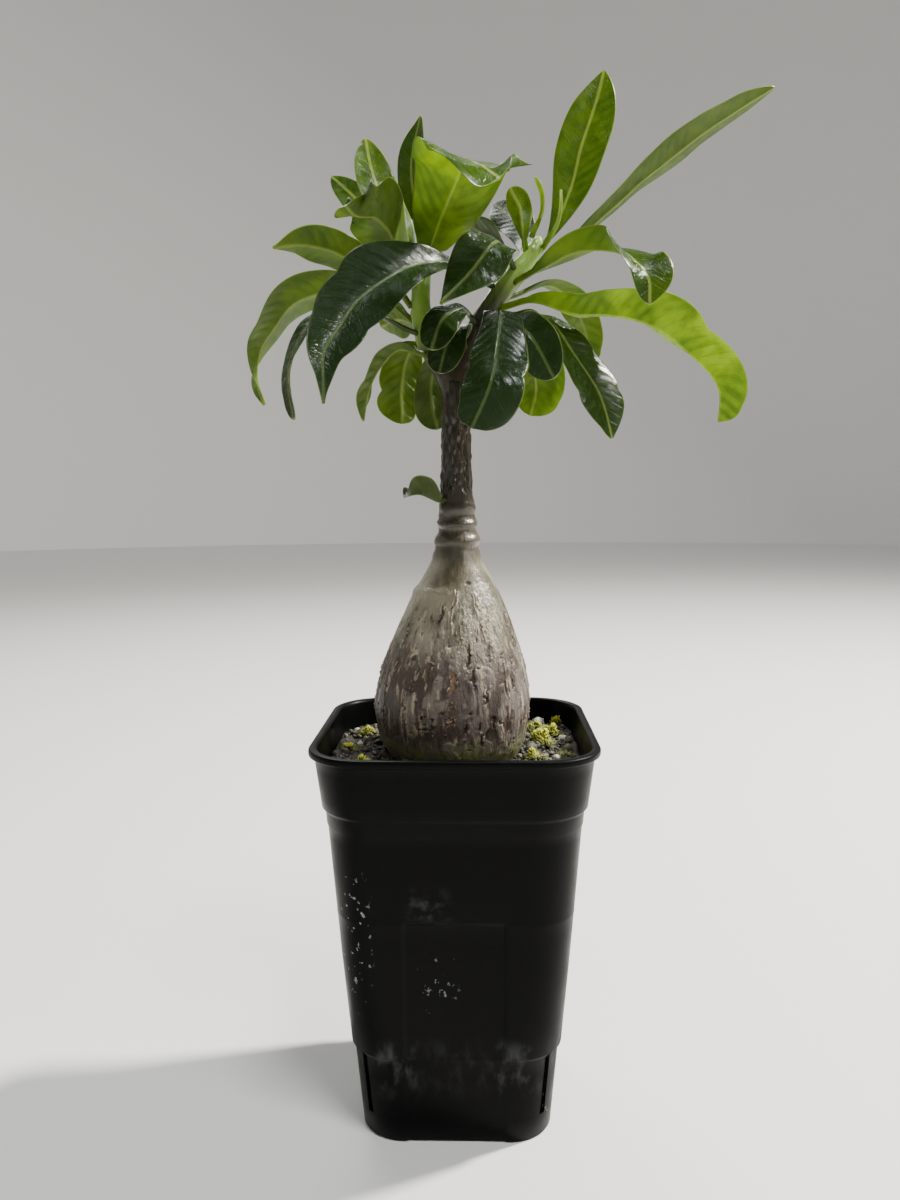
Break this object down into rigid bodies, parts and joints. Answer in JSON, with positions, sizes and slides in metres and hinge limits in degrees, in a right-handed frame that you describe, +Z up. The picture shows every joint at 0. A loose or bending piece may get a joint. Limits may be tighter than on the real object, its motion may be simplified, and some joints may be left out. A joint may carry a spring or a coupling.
{
  "type": "potted pachypodium",
  "caption": "Leafy caudex plant with a swollen bottle-shaped trunk that forks into branches of long glossy leaves, standing in soil in a deep square nursery pot.",
  "frame": {"origin": "middle of the pot's flat foot, on the surface that it stands on", "axes": "+Z up along the trunk, +X towards the longest leaf on the right of the picture, +Y to the back"},
  "size_m": [0.1741, 0.09, 0.3412],
  "materials": {
    "pot_plastic": "satin black moulded plastic with faint lime marks",
    "soil_mix": "matt dark potting soil with stone grit and moss on top",
    "bark": "matt grey-brown bark with fine fissures",
    "leaf_green": "glossy leathery green leaf, paler along the veins"
  },
  "bodies": {
    "root": {"pot": "pot_plastic", "soil": "soil_mix", "trunk": "bark", "leaf_left_01": "leaf_green", "leaf_left_02": "leaf_green", "leaf_left_03": "leaf_green", "leaf_left_04": "leaf_green", "leaf_left_05": "leaf_green", "leaf_left_06": "leaf_green", "leaf_left_07": "leaf_green", "leaf_left_08": "leaf_green", "leaf_left_09": "leaf_green", "leaf_left_10": "leaf_green", "leaf_left_11": "leaf_green", "leaf_left_12": "leaf_green", "leaf_right_01": "leaf_green", "leaf_right_02": "leaf_green", "leaf_right_03": "leaf_green", "leaf_right_04": "leaf_green", "leaf_right_05": "leaf_green", "leaf_right_06": "leaf_green", "leaf_right_07": "leaf_green", "leaf_right_08": "leaf_green", "leaf_right_09": "leaf_green", "leaf_right_10": "leaf_green", "leaf_right_11": "leaf_green", "leaf_right_12": "leaf_green", "leaf_right_13": "leaf_green", "leaf_right_14": "leaf_green", "leaf_right_15": "leaf_green", "leaf_right_16": "leaf_green", "leaf_right_17": "leaf_green", "leaf_right_18": "leaf_green", "leaf_stem": "leaf_green"}
  },
  "joints": []
}
